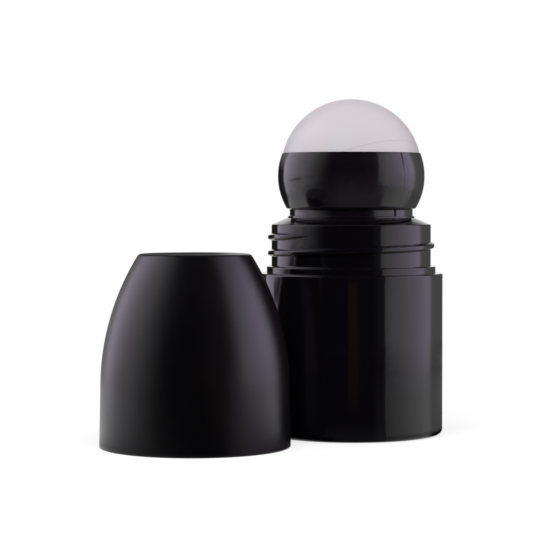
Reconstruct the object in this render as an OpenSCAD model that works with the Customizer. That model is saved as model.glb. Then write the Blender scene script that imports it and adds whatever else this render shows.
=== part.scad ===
// Roll-on bottle with its ball housing, hollow ball and screw cap, the cap taken off and standing in front.
// The origin is the centre of the bottle's foot, on the table. +Z is up and +Y points away from the viewer.

/* [Ball] */
// Diameter of the ball
ball_d = 35.5; // [30:0.1:40]
// Wall of each moulded half of the ball
ball_wall = 1.2; // [0.8:0.1:2]
// Height of the lip that centres one half in the other
weld_lip_h = 0.8; // [0.4:0.1:1.5]
// Tilt of the weld seam, as the ball came to rest
seam_tilt = 23.6; // [0:0.1:60]
// Direction of the seam's high side, seen from above
seam_turn = -42; // [-180:1:180]

/* [Ball housing] */
// Wall of the cup at its widest level
cup_wall = 0.85; // [0.7:0.05:1.5]
// Drop of the cup's widest level below the ball's centre
waist_drop = 1.7; // [1:0.1:2.5]
// Height of the cup's lip above the ball's centre
lip_h = 4.1; // [3:0.1:5]
// Thickness of the lip's edge
lip_wall = 0.2; // [0.15:0.05:0.4]
// Depth of the band under the lip that holds the ball
lip_band_h = 1.4; // [0.8:0.1:2]
// Height of the recessed neck between the mouth and the cup
recess_h = 2.35; // [1.5:0.05:4]
// Wall left between that neck's outside and the ball's seat
recess_wall = 0.8; // [0.6:0.1:1.2]
// Wall of the bowl under the ball
bowl_wall = 1; // [0.9:0.1:1.4]
// Diameter of the throat that feeds the ball
throat_d = 16; // [10:1:20]
// Number of feed channels across the ball's seat
feed_count = 8; // [4:1:12]
// Width of each feed channel
feed_w = 1.6; // [1:0.1:2.5]
// Depth of each feed channel in the bowl
feed_depth = 0.35; // [0.2:0.05:0.5]
// Wall of the plug's skirt
plug_wall = 1.2; // [0.8:0.1:1.6]
// Depth of the plug below the mouth's rim
plug_depth = 7.5; // [6:0.5:10]
// Height of the flange that seats on the mouth's rim
flange_h = 0.5; // [0.3:0.1:1]
// Width of the flange beyond the mouth's bore
flange_w = 0.4; // [0.3:0.05:0.5]
// Height of the retention bead above the plug's skirt
grip_h = 0.3; // [0.1:0.05:0.5]
// Length of the retention bead along the plug
grip_w = 1.6; // [1:0.1:2.5]
// Direction of the side cores' first parting line, seen from above
parting_turn = -48; // [-180:1:180]
// Radius of the fillet between the recessed neck and the cup's underside
under_cup_r = 0.5; // [0.2:0.05:0.6]
// Width of the nick that this line leaves in the recessed neck
nick_w = 0.45; // [0.2:0.05:0.8]
// Depth of that nick
nick_depth = 0.3; // [0.1:0.05:0.4]

/* [Bottle] */
// Diameter of the mouth's bore
mouth_d = 31.3; // [30:0.1:32]
// Length of the mouth's bore
mouth_bore_h = 2; // [1.5:0.1:3]
// Width of the flat rim round the mouth
mouth_rim_w = 0.6; // [0.55:0.05:1]
// Rise of the sloping land from the neck's wall to the mouth's rim
land_rise = 1.7; // [1:0.1:3]
// Outer diameter of the neck's wall between the turns of its thread
neck_d = 40.4; // [38:0.1:44]
// Height of the neck from the shoulder to the edge of the land
neck_h = 12.25; // [11:0.05:20]
// Wall of the neck
neck_wall = 1.5; // [1:0.1:2]
// Height of the bead at the foot of the neck
bead_h = 1.75; // [1:0.05:2]
// Step of that bead beyond the thread's crest
bead_step = 0.3; // [0.1:0.05:0.6]
// Width of the shoulder beyond the bead, under the closed cap's rim
shoulder_w = 1.8; // [1.4:0.05:4]
// Height of the shoulder above the table
shoulder_h = 40.65; // [30:0.05:120]
// Wall of the body
body_wall = 1.3; // [0.8:0.1:2]
// Radius of the edge between the body and its foot
foot_edge_r = 1.3; // [0.6:0.1:3]
// Radius of the edge between the body and its shoulder
shoulder_edge_r = 0.4; // [0.2:0.1:0.8]
// Radius of the bead's upper edge
bead_edge_r = 0.25; // [0.1:0.05:0.4]
// Radius of the edge between the neck and the land
land_edge_r = 0.35; // [0.1:0.05:0.5]
// Width of the flat foot ring that the bottle stands on
foot_w = 4; // [2:0.5:6]
// Rise of the base's middle above the foot ring
base_rise = 1.4; // [0.6:0.1:3]

/* [Thread] */
// Rise of the thread in one turn
thread_pitch = 4; // [3.6:0.1:4.4]
// Height of the ridge above the wall that carries it
thread_depth = 0.9; // [0.5:0.05:1.2]
// Width of the neck's ridge at its foot
neck_root_w = 1.9; // [1.2:0.05:2.1]
// Width of the neck's ridge at its crest
neck_crest_w = 0.9; // [0.3:0.05:1.1]
// Width of the cap's ridge at its foot
cap_root_w = 1.5; // [1.1:0.05:1.6]
// Width of the cap's ridge at its crest
cap_crest_w = 0.6; // [0.3:0.05:0.8]
// Turns of the ridge on the neck, with its run-outs
neck_turns = 1.36; // [1:0.02:1.5]
// Turns of the ridge in the cap, with its run-outs
cap_turns = 1.2; // [1:0.05:1.4]
// Sweep of each run-out, where the ridge sinks into its wall
run_out_sweep = 24; // [16:1:80]
// Distance of the neck ridge's upper end below the edge of the land
thread_drop = 2.6; // [2:0.1:3.5]
// Direction in which the neck ridge's upper end points, seen from above
thread_end_turn = -123.6; // [-180:0.1:180]
// Plain bore between the cap's mouth and the foot of its ridge
thread_lead = 0.2; // [0.1:0.1:1]

/* [Cap] */
// Wall of the cap at its mouth
cap_wall = 1.3; // [1:0.05:2]
// Narrowing of the skirt's outside, on the radius, up to where the dome begins
cap_draft = 0.3; // [0.1:0.05:0.4]
// Height at which the dome begins
dome_start_h = 14.2; // [11:0.1:18]
// Diameter at which the dome's curve would meet the top
dome_top_d = 26.8; // [20:0.1:32]
// Radius of the edge round the flat top
top_edge_r = 1.1; // [0.6:0.1:1.3]
// Thickness of the top
top_wall = 1.3; // [1.1:0.1:2]
// Room between the top and the ball when the cap is on
head_room = 1.25; // [0.8:0.05:3]
// Outer diameter of the ring under the top that presses on the ball
press_ring_d = 16.8; // [12:0.1:20]
// Wall of that ring
press_ring_w = 1; // [0.6:0.1:2]
// Radius of the edges of the cap's rim
cap_rim_edge_r = 0.25; // [0.1:0.05:0.4]
// Distance of the standing cap's axis to the left of the bottle's
cap_left = 38.5; // [38:0.1:60]
// Distance of the standing cap's axis in front of the bottle's
cap_front = 28.3; // [28:0.1:60]

/* [Clearances] */
// Running gap between the ball and the bands that hold it
ball_gap = 0.05; // [0.02:0.01:0.1]
// Gap round the ball between those bands
ball_relief = 0.25; // [0.15:0.05:0.4]
// Gap between the weld lip and its rebate
weld_gap = 0.05; // [0.02:0.01:0.1]
// Gap between the plug and the mouth's bore
plug_gap = 0.05; // [0.02:0.01:0.1]
// Gap between a ridge's crest and the wall that it turns in
thread_gap = 0.2; // [0.1:0.05:0.3]
// Gap between the cap's mouth and the neck's bead
bead_gap = 0.3; // [0.15:0.05:0.4]
// Gap between the closed cap's rim and the shoulder
rim_gap = 0.2; // [0.1:0.05:0.4]
// Gap between the closed cap's inner ring and the ball
press_gap = 0.05; // [0.02:0.01:0.1]

/* [Hidden] */
$fn = 128;

// Colours of the plastics: glossy black, matt black and white
gloss_black = "#141216";
matt_black = "#242326";
ball_white = "#d9d2d4";

// Steps of a ridge in one turn, of a rounded edge and of a long curve
thread_steps = 72;
edge_steps = 5;
curve_steps = 24;

// Radius of every other moulded edge that is rounded
fine_edge_r = 0.12;

// Overrun of a cut past the face that it opens, and the depth to which a ridge or a lip is sunk in its wall
overrun = 0.5;
sink = 0.3;
// Least share of its full size that a ridge has at its very end
end_share = 0.05;

// The ball and the spheres round it
ball_r = ball_d / 2;
ball_in_r = ball_r - ball_wall;
weld_lip_r = ball_in_r + ball_wall / 2;
seat_r = ball_r + ball_gap;
relief_r = ball_r + ball_relief;

// The bottle, from its mouth outwards and from its foot up
mouth_r = mouth_d / 2;
rim_r = mouth_r + mouth_rim_w;
neck_r = neck_d / 2;
neck_in_r = neck_r - neck_wall;
crest_r = neck_r + thread_depth;
bead_r = crest_r + bead_step;
body_r = bead_r + shoulder_w;
body_in_r = body_r - body_wall;
land_h = shoulder_h + neck_h;
mouth_h = land_h + land_rise;
foot_out_r = body_r - foot_edge_r;
foot_in_r = foot_out_r - foot_w;
// The base is pushed up in a shallow dome inside the foot ring
push_up_r = (foot_in_r * foot_in_r + base_rise * base_rise) / (2 * base_rise);
push_up_sweep = asin(foot_in_r / push_up_r);

// The housing, in heights from the ball's centre: the cup's lower edge is where its neck keeps its wall
plug_r = mouth_r - plug_gap;
plug_in_r = plug_r - plug_wall;
cup_drop = sqrt(pow(seat_r, 2) - pow(plug_r - recess_wall, 2));
cup_r = ball_r + cup_wall;
lip_r = sqrt(pow(seat_r, 2) - pow(lip_h, 2)) + lip_wall;
// The cup's side is one arc, upright at the waist, that passes through the lip's outer edge
cup_narrowing = cup_r - lip_r;
cup_arc_r = (pow(lip_h + waist_drop, 2) + pow(cup_narrowing, 2)) / (2 * cup_narrowing);
mouth_drop = cup_drop + recess_h;
throat_r = throat_d / 2;
ball_h = mouth_h + mouth_drop;

// Heights in the cap, from its rim, and where the rim is when the cap is closed
closed_h = shoulder_h + rim_gap;
cap_mouth_r = bead_r + bead_gap;
cap_mouth_h = bead_h + rim_gap;
cap_bore_r = crest_r + thread_gap;
cap_r = cap_mouth_r + cap_wall;
dome_r = cap_r - cap_draft;
top_in_h = ball_h + ball_r + head_room - closed_h;
cap_h = top_in_h + top_wall;
// The dome's side is one arc, upright where it begins, that meets the top at the stated diameter
dome_narrowing = dome_r - dome_top_d / 2;
dome_arc_r = (pow(cap_h - dome_start_h, 2) + pow(dome_narrowing, 2)) / (2 * dome_narrowing);
dome_axis = dome_r - dome_arc_r;
dome_in_arc_r = cap_bore_r - dome_axis;
// The ring under the top ends just over the ball, at the ring's inner edge
press_in_r = press_ring_d / 2 - press_ring_w;
press_h = ball_h - closed_h + sqrt(pow(ball_r + press_gap, 2) - pow(press_in_r, 2));

// The ridges: the cap's lies half a pitch under the neck's when the cap is closed
neck_ridge_top_h = land_h - thread_drop;
neck_ridge_h = neck_ridge_top_h - thread_pitch * neck_turns;
cap_ridge_h = cap_mouth_h + thread_lead + cap_root_w / 2;
cap_ridge_turn = thread_end_turn
    + 360 * (closed_h + cap_ridge_h + thread_pitch / 2 - neck_ridge_top_h) / thread_pitch;

// Points of an arc about a centre
function arc(centre, r, from, to, steps) =
    [for (i = [0:steps]) let (a = from + (to - from) * i / steps) centre + r * [cos(a), sin(a)]];

// Points that round one corner of an outline, between the corners before and after it
function rounded_corner(before, corner, after, r) =
    let (
        back = (before - corner) / norm(before - corner),
        ahead = (after - corner) / norm(after - corner),
        turn = 180 - acos(back * ahead),
        centre = corner + r / cos(turn / 2) * (back + ahead) / norm(back + ahead),
        first = corner + r * tan(turn / 2) * back - centre,
        last = corner + r * tan(turn / 2) * ahead - centre
    )
    [for (i = [0:edge_steps])
        let (a = turn * i / edge_steps)
        centre + (first * sin(turn - a) + last * sin(a)) / sin(turn)];

// A closed outline whose corners are given with a radius each, as [[x, y], r]
function rounded(corners) =
    let (count = len(corners))
    [for (i = [0:count - 1])
        let (before = corners[(i + count - 1) % count][0], after = corners[(i + 1) % count][0])
        each corners[i][1] == 0
            ? [corners[i][0]]
            : rounded_corner(before, corners[i][0], after, corners[i][1])];

// Points of an arc as corners that need no rounding
function plain(points) = [for (point = points) [point, 0]];

// Share of its full size that a ridge has at an angle along its sweep
function ridge_share(angle, sweep) =
    let (near = min(angle, sweep - angle))
    near >= run_out_sweep ? 1 : max(end_share, sin(90 * near / run_out_sweep));

// One cross-section of a ridge, sunk in the wall. out is 1 on a shaft and -1 in a bore
function ridge_ring(angle, height, wall_r, root_w, crest_w, share, out) =
    let (
        flank = (root_w - crest_w) / (2 * thread_depth),
        root_half = share * root_w / 2 + sink * flank,
        crest_half = share * crest_w / 2,
        root_at = wall_r - out * sink,
        crest_at = wall_r + out * share * thread_depth
    )
    [for (p = [[root_at, -root_half], [crest_at, -crest_half], [crest_at, crest_half], [root_at, root_half]])
        [p[0] * cos(angle), p[0] * sin(angle), height + p[1]]];

// A right-handed ridge that climbs from a height and a direction, and runs out at both ends
module thread_ridge(wall_r, from_h, from_turn, turns, root_w, crest_w, out) {
    sweep = 360 * turns;
    steps = ceil(thread_steps * turns);
    rings = [for (i = [0:steps])
        let (angle = sweep * i / steps, height = from_h + thread_pitch * angle / 360)
        ridge_ring(from_turn + angle, height, wall_r, root_w, crest_w, ridge_share(angle, sweep), out)];
    sides = len(rings[0]);
    walls = [for (i = [0:steps - 1], k = [0:sides - 1])
        let (a = i * sides + k, b = i * sides + (k + 1) % sides)
        each [[a, b, a + sides], [b, b + sides, a + sides]]];
    start = [[0, 2, 1], [0, 3, 2]];
    finish = [for (face = start) [for (k = [2:-1:0]) face[k] + steps * sides]];
    faces = concat(walls, start, finish);
    points = [for (ring = rings) each ring];
    polyhedron(points, [for (face = faces) out > 0 ? face : [face[2], face[1], face[0]]]);
}

// Outside of the bottle, from the middle of its base round to the middle of its mouth
bottle_outline = rounded(concat(
    plain(arc([0, base_rise - push_up_r], push_up_r, 90, 90 - push_up_sweep, curve_steps)),
    [[[body_r, 0], foot_edge_r], [[body_r, shoulder_h], shoulder_edge_r]],
    [[[bead_r, shoulder_h], 0], [[bead_r, shoulder_h + bead_h], bead_edge_r]],
    [[[neck_r, shoulder_h + bead_h], fine_edge_r], [[neck_r, land_h], land_edge_r]],
    [[[rim_r, mouth_h], fine_edge_r], [[0, mouth_h], 0]]
));

// Inside of the bottle: floor, body, sloping shoulder, neck, underside of the land and mouth
bottle_hollow = rounded([
    [[0, base_rise + body_wall], 0], [[body_in_r, base_rise + body_wall], foot_edge_r],
    [[body_in_r, shoulder_h - (body_in_r - neck_in_r)], body_wall], [[neck_in_r, shoulder_h], body_wall],
    [[neck_in_r, land_h - neck_wall], 0], [[mouth_r, mouth_h - mouth_bore_h], fine_edge_r],
    [[mouth_r, mouth_h + overrun], 0], [[0, mouth_h + overrun], 0]
]);

// Blow-moulded bottle with the ridge of its thread
module bottle() {
    color(gloss_black) {
        difference() {
            rotate_extrude() polygon(bottle_outline);
            rotate_extrude() polygon(bottle_hollow);
        }
        neck_from_turn = thread_end_turn - 360 * neck_turns;
        thread_ridge(neck_r, neck_ridge_h, neck_from_turn, neck_turns, neck_root_w, neck_crest_w, 1);
    }
}

// The plug in section, with the ball's centre at the origin: the fillet under the cup, the recessed neck, the
// flange that seats on the mouth's rim, the bead that snaps under the mouth's bore, and the skirt, thinned at its
// end to lead in
plug_top = sink - cup_drop;
grip_top = -mouth_drop - mouth_bore_h;
plug_end = -mouth_drop - plug_depth;
plug_outline = rounded(concat(
    [[[plug_in_r, plug_top], 0], [[plug_r + under_cup_r, plug_top], 0]],
    plain(arc([plug_r + under_cup_r, -cup_drop - under_cup_r], under_cup_r, 90, 180, edge_steps)),
    [[[plug_r, flange_h - mouth_drop], 0],
    [[mouth_r + flange_w, flange_h - mouth_drop], fine_edge_r], [[mouth_r + flange_w, -mouth_drop], 0],
    [[plug_r, -mouth_drop], 0], [[plug_r, grip_top], 0], [[plug_r + grip_h, grip_top - grip_h], fine_edge_r],
    [[plug_r + grip_h, grip_top - 2 * grip_h], fine_edge_r], [[plug_r, grip_top - grip_w], 0],
    [[plug_r, plug_end + plug_wall], 0], [[plug_r - plug_wall / 2, plug_end], fine_edge_r],
    [[plug_in_r, plug_end], fine_edge_r]]
));

// Part of a section right of the axis, from one height to another
module band(from_h, to_h, width) {
    translate([0, from_h]) square([width, to_h - from_h]);
}

// Room for the ball: the seat and the band under the lip close to it, and a wider stretch between them
module ball_room() {
    sphere(seat_r);
    rotate_extrude() intersection() {
        circle(relief_r);
        band(recess_wall - cup_drop, lip_h - lip_band_h, cup_r);
    }
}

// Channels that lead the liquid from the throat past the seat
module feed_channels() {
    intersection() {
        sphere(seat_r + feed_depth);
        for (i = [0:feed_count - 1]) rotate([0, 0, 360 * i / feed_count])
            translate([0, -feed_w / 2, -seat_r - bowl_wall])
                cube([plug_r, feed_w, seat_r + bowl_wall - cup_drop + recess_wall]);
    }
}

// Nicks in the recessed neck, where the two side cores of the mould meet on either side
module parting_nicks() {
    for (side = [0, 1]) rotate([0, 0, parting_turn + 180 * side])
        translate([plug_r - nick_depth, -nick_w / 2, flange_h - mouth_drop])
            cube([nick_depth + overrun, nick_w, recess_h - flange_h]);
}

// One-piece ball housing: cup, lip, bowl, recessed neck, flange and plug
module ball_housing() {
    color(gloss_black) translate([0, 0, ball_h]) difference() {
        union() {
            // The bulged cup
            rotate_extrude() intersection() {
                translate([cup_r - cup_arc_r, -waist_drop]) circle(cup_arc_r);
                band(-cup_drop, lip_h, cup_r + overrun);
            }
            // The bowl under the ball
            rotate_extrude() intersection() {
                circle(seat_r + bowl_wall);
                band(-seat_r - bowl_wall, plug_top, plug_r);
            }
            rotate_extrude() polygon(plug_outline);
        }
        ball_room();
        feed_channels();
        parting_nicks();
        translate([0, 0, -seat_r - 2 * bowl_wall]) cylinder(r = throat_r, h = seat_r);
    }
}

// Wall of a half ball, on the side of the seam that its sign names
module half_wall(side) {
    intersection() {
        difference() {
            circle(ball_r);
            circle(ball_in_r);
        }
        translate([0, side > 0 ? 0 : -ball_r]) square([ball_r, ball_r]);
    }
}

// Places a half ball, with its seam tilted as the ball came to rest
module seam_place() {
    translate([0, 0, ball_h]) rotate([0, 0, seam_turn]) rotate([0, -seam_tilt, 0]) children();
}

// Moulded half above the seam, with the lip that centres the other half
module ball_upper_half() {
    color(ball_white) seam_place() rotate_extrude() {
        half_wall(1);
        translate([ball_in_r, -weld_lip_h]) square([weld_lip_r - ball_in_r, weld_lip_h + sink]);
    }
}

// Moulded half below the seam, with the rebate for that lip
module ball_lower_half() {
    color(ball_white) seam_place() rotate_extrude() difference() {
        half_wall(-1);
        translate([ball_in_r - overrun, -weld_lip_h - weld_gap])
            square([weld_lip_r + weld_gap - ball_in_r + overrun, weld_lip_h + weld_gap + overrun]);
    }
}

// The rounded edge between the dome and the flat top: its centre, and the angle at which it leaves the dome
top_edge_h = cap_h - top_edge_r;
top_edge_from = asin((top_edge_h - dome_start_h) / (dome_arc_r - top_edge_r));
top_edge_at = dome_axis + (dome_arc_r - top_edge_r) * cos(top_edge_from);
// Angle at which the dome's inner arc meets the underside of the top
dome_in_to = asin((top_in_h - dome_start_h) / dome_in_arc_r);

// Section of the cap, from its rim up the outside and down the inside
cap_outline = rounded(concat(
    [[[cap_mouth_r, 0], cap_rim_edge_r], [[cap_r, 0], cap_rim_edge_r]],
    plain(arc([dome_axis, dome_start_h], dome_arc_r, 0, top_edge_from, curve_steps)),
    plain(arc([top_edge_at, top_edge_h], top_edge_r, top_edge_from, 90, edge_steps)),
    [[[0, cap_h], 0], [[0, top_in_h], 0], [[press_in_r, top_in_h], 0], [[press_in_r, press_h], fine_edge_r]],
    [[[press_in_r + press_ring_w, press_h], fine_edge_r], [[press_in_r + press_ring_w, top_in_h], 0]],
    plain(arc([dome_axis, dome_start_h], dome_in_arc_r, dome_in_to, 0, curve_steps)),
    [[[cap_bore_r, cap_mouth_h], fine_edge_r], [[cap_mouth_r, cap_mouth_h], 0]]
));

// Screw cap with the ridge of its thread, standing on its rim
module cap() {
    color(matt_black) translate([-cap_left, -cap_front, 0]) {
        rotate_extrude() polygon(cap_outline);
        thread_ridge(cap_bore_r, cap_ridge_h, cap_ridge_turn, cap_turns, cap_root_w, cap_crest_w, -1);
    }
}

bottle();
ball_housing();
ball_upper_half();
ball_lower_half();
cap();
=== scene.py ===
# %% [markdown]
# # A roll-on bottle with its cap off
# The product is five plastic mouldings: a blow-moulded bottle, a ball housing that snaps into its mouth, a
# hollow ball welded from two halves, and a screw cap that stands beside the bottle. Nearly every surface is
# turned round an axis, so most of the work is to draw good sections and to turn them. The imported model
# comes first, as a fixed frame. Each piece made here takes its place and its main sizes from it.

# %% Load the frame
import math

import bmesh
import bpy
from mathutils import Matrix, Vector


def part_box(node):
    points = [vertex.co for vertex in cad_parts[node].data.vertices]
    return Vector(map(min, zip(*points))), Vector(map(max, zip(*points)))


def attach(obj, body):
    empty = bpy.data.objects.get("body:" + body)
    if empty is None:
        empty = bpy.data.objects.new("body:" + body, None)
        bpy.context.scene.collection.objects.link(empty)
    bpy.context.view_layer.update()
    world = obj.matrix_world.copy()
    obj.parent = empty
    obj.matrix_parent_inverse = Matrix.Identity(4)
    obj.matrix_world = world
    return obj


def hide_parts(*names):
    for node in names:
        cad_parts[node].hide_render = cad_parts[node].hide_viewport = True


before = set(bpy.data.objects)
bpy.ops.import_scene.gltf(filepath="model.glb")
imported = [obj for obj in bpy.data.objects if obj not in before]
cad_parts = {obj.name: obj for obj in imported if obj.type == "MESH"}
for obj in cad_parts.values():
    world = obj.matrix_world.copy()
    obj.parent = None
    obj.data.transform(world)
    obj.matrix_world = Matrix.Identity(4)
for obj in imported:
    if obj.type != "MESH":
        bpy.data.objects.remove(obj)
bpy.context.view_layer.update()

MM = 0.001


print("packed nodes:", sorted(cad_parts))

# %% [markdown]
# ## Camera
# The product was shot with a long lens from a little above the table, which shows the rims as slim ellipses.
# A focal length of 2000 pixels in a picture of 545 pixels is a 132 mm lens on a 36 mm sensor. The camera
# looks down by about two degrees, and the picture needs no shift.


# %% Set up the camera
def new_object(name, data):
    """A new object in the scene."""
    obj = bpy.data.objects.new(name, data)
    bpy.context.scene.collection.objects.link(obj)
    return obj


PICTURE_PX = 545
FOCAL_PX = 2000
camera_mm = (-19.91, -507.09, 59.61)
camera_down_deg = 2.133

camera_data = bpy.data.cameras.new("camera")
camera_data.sensor_width = 36
camera_data.lens = camera_data.sensor_width * FOCAL_PX / PICTURE_PX
camera = new_object("camera", camera_data)
camera.location = Vector(camera_mm) * MM
camera.rotation_euler = (math.radians(90 - camera_down_deg), 0, 0)
bpy.context.scene.camera = camera
print(f"lens {camera_data.lens:.1f} mm")

# %% [markdown]
# ## Helpers for nodes and colours
# Every material, and the one Geometry Nodes tree, is built from the same small step: add a node, set what
# it is, and fill its inputs. Colours are written as sRGB hex, as a painter's chart gives them, and Blender
# wants them linear.


# %% Add nodes and turn colours to linear
def fill(tree, node, inputs):
    """Sets a node's inputs. An input that is given another node's output is linked to it."""
    for name, value in inputs.items():
        if isinstance(value, bpy.types.NodeSocket):
            tree.links.new(value, node.inputs[name])
        else:
            node.inputs[name].default_value = value


def add(tree, kind, inputs=None, **settings):
    """Adds a node to a tree, with its settings and its inputs."""
    node = tree.nodes.new(kind)
    for name, value in settings.items():
        setattr(node, name, value)
    fill(tree, node, inputs or {})
    return node


def linear(hex_code):
    """Linear red, green, blue and alpha of an sRGB hex colour."""
    shares = [int(hex_code[i : i + 2], 16) / 255 for i in (1, 3, 5)]
    return [s / 12.92 if s <= 0.04045 else ((s + 0.055) / 1.055) ** 2.4 for s in shares] + [1]


print("mid grey is", [round(c, 3) for c in linear("#808080")[:3]])

# %% [markdown]
# ## Sections
# A moulding is drawn as half of its section: points given by their distance from the axis and their height.
# Real plastic has no perfectly sharp edge, so every corner gets its small radius, which is also what
# catches the light. Beside each rounding lies a short support face. Without it, smooth shading would bend
# the light across the whole flat next to it.


# %% Draw sections with arcs and rounded corners
def arc(centre, radius, start, end, steps):
    """Points of an arc, with angles in degrees, as corners that need no rounding."""
    angles = [math.radians(start + (end - start) * i / steps) for i in range(steps + 1)]
    return [(centre[0] + radius * math.cos(a), centre[1] + radius * math.sin(a), 0) for a in angles]


EDGE_STEPS = 5


def rounded_corner(before, corner, after):
    """Points that round one corner, with a support point on each side of it."""
    here = Vector(corner[:2])
    back = (Vector(before[:2]) - here).normalized()
    ahead = (Vector(after[:2]) - here).normalized()
    turn = math.pi - back.angle(ahead)
    reach = corner[2] * math.tan(turn / 2)
    centre = here + (back + ahead).normalized() * (corner[2] / math.cos(turn / 2))
    first, last = here + back * reach - centre, here + ahead * reach - centre
    arc_points = [
        centre + (first * math.sin(turn * (1 - t)) + last * math.sin(turn * t)) / math.sin(turn)
        for t in (i / EDGE_STEPS for i in range(EDGE_STEPS + 1))
    ]
    support = reach + corner[2] * turn / EDGE_STEPS
    return [here + back * support, *arc_points, here + ahead * support]


def section(corners, closed=False):
    """Points of a section. Each corner is (distance from the axis, height, radius of rounding)."""
    points = []
    for i, corner in enumerate(corners):
        is_end = not closed and i in (0, len(corners) - 1)
        if corner[2] == 0 or is_end:
            points.append(Vector(corner[:2]))
        else:
            points += rounded_corner(corners[i - 1], corner, corners[(i + 1) % len(corners)])
    return points


square = section([(0, 0, 0), (5, 0, 1), (5, 5, 1), (0, 5, 0)])
print("a square section with two rounded corners has", len(square), "points")

# %% [markdown]
# ## Turning a section
# Each ring of points is placed one by one, not with a modifier. A column can then lie exactly where a
# mould's parting line runs, and each point can be pushed in or out a little, which makes the fine lines real
# geometry.


# %% Turn a section round an axis
FINE_STEPS_DEG = (0.15, 0.35, 0.6, 0.9, 1.3, 1.9)
FINE_CLEAR_DEG = 0.3


def from_line(angle, line):
    """How many degrees an angle is from an upright line, the shorter way round."""
    return abs((angle - line + 180) % 360 - 180)


def turn_angles(columns, fine_at=()):
    """Even angles round the axis in degrees, with close ones on both sides of each line in fine_at."""
    angles = {round(360 * i / columns, 4) for i in range(columns)}
    reach = FINE_STEPS_DEG[-1] + FINE_CLEAR_DEG
    for line in fine_at:
        angles = {a for a in angles if from_line(a, line) > reach}
        angles |= {round((line + side * step) % 360, 4) for step in (0, *FINE_STEPS_DEG) for side in (-1, 1)}
    return sorted(angles)


ON_AXIS = 1e-9


def turned_mesh(name, points, angles, relief=None):
    """A closed surface of revolution in millimetres. relief(x, z, angle) says how far out a point goes."""
    form = bmesh.new()
    rings = []
    for x, z in points:
        if x < ON_AXIS:
            rings.append([form.verts.new((0, 0, z))])
            continue
        ring = []
        for angle in angles:
            out = x + (relief(x, z, angle) if relief else 0)
            turn = math.radians(angle)
            ring.append(form.verts.new((out * math.cos(turn), out * math.sin(turn), z)))
        rings.append(ring)
    on_axis = len(rings[0]) == 1 and len(rings[-1]) == 1
    for i in range(len(rings) - 1 if on_axis else len(rings)):
        low, high = rings[i], rings[(i + 1) % len(rings)]
        for k in range(len(angles)):
            corners = [low[k % len(low)], low[(k + 1) % len(low)]]
            corners += [high[(k + 1) % len(high)], high[k % len(high)]]
            form.faces.new(dict.fromkeys(corners))
    if form.calc_volume(signed=True) < 0:
        bmesh.ops.reverse_faces(form, faces=form.faces)
    mesh = bpy.data.meshes.new(name)
    form.to_mesh(mesh)
    form.free()
    return mesh


def to_metres(mesh, place_mm=(0, 0, 0), turn=None):
    """Turns a mesh in millimetres, puts it at its place and scales it to metres, all in its own points."""
    mesh.transform(Matrix.Scale(MM, 4) @ Matrix.Translation(place_mm) @ (turn or Matrix.Identity(4)))


MM3_PER_ML = 1000


def finished_piece(name, meshes, material):
    """One object from meshes that belong to one moulding, with its material."""
    form = bmesh.new()
    for mesh in meshes:
        form.from_mesh(mesh)
    joined = bpy.data.meshes.new(name)
    form.to_mesh(joined)
    triangles = sum(len(face.verts) - 2 for face in form.faces)
    volume_ml = form.calc_volume(signed=True) / MM**3 / MM3_PER_ML
    form.free()
    joined.shade_smooth()
    joined.materials.append(material)
    print(f"{name}: {triangles} triangles, {volume_ml:.2f} ml of plastic")
    return new_object(name, joined)


print("columns near a parting line at 90 degrees:", [a for a in turn_angles(36, [90]) if 88 < a < 92])

# %% [markdown]
# ## Plastics
# Every plastic starts in the same way. Noise of a size in millimetres makes it uneven: it raises the surface
# by a few hundredths of a millimetre at most, and moves the colour, and the roughness of the black ones,
# within narrow limits.


# %% Start a plastic
def new_material(name):
    """A new material and its tree."""
    material = bpy.data.materials.new(name)
    material.use_nodes = True
    return material, material.node_tree


def new_plastic(name):
    """A new material, its tree, its surface node and the output that says where a point lies."""
    material, tree = new_material(name)
    place = add(tree, "ShaderNodeTexCoord").outputs["Object"]
    return material, tree, tree.nodes["Principled BSDF"], place


def per_metre(size_mm):
    """Scale of a pattern whose features are this many millimetres across."""
    return 1 / (size_mm * MM)


print("noise scale for features of 2 mm:", per_metre(2))

# %% [markdown]
# ## Bottle plastic
# The bottle is blow-moulded polypropylene, gloss black. It takes its gloss from a polished mould, and it
# reflects sharply, but the parison leaves faint upright streaks and a slow waviness, a few hundredths of a
# millimetre high, that make the edges of a reflection wander a little.


# %% Make the bottle's plastic
def blown_gloss_black():
    """Gloss black blow-moulded polypropylene."""
    material, tree, surface, place = new_plastic("blown_gloss_black")
    streak_mm, streak_rise, wave_mm, wave_rise = 1.5, 0.004 * MM, 9, 0.03 * MM
    # A streak is 20 times as long up the body as it is wide round it
    drawn = add(tree, "ShaderNodeMapping", {"Vector": place, "Scale": (1, 1, 0.05)}).outputs[0]
    streak_noise = {"Vector": drawn, "Scale": per_metre(streak_mm), "Detail": 2}
    streaks = add(tree, "ShaderNodeTexNoise", streak_noise).outputs["Fac"]
    wave_noise = {"Vector": place, "Scale": per_metre(wave_mm), "Detail": 1}
    waves = add(tree, "ShaderNodeTexNoise", wave_noise).outputs["Fac"]
    streak_bump = add(tree, "ShaderNodeBump", {"Height": streaks, "Distance": streak_rise}).outputs[0]
    wave_relief = {"Height": waves, "Distance": wave_rise, "Normal": streak_bump}
    wave_bump = add(tree, "ShaderNodeBump", wave_relief).outputs[0]
    shades = {0: waves, 6: linear("#08060b"), 7: linear("#0b090e")}
    shade = add(tree, "ShaderNodeMix", shades, data_type="RGBA").outputs[2]
    gloss = {"Value": streaks, "From Min": 0.3, "From Max": 0.7, "To Min": 0.05, "To Max": 0.09}
    roughness = add(tree, "ShaderNodeMapRange", gloss).outputs[0]
    fill(tree, surface, {"Base Color": shade, "Roughness": roughness, "Normal": wave_bump, "IOR": 1.5})
    return material


bottle_plastic = blown_gloss_black()
print("made", bottle_plastic.name)

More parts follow.
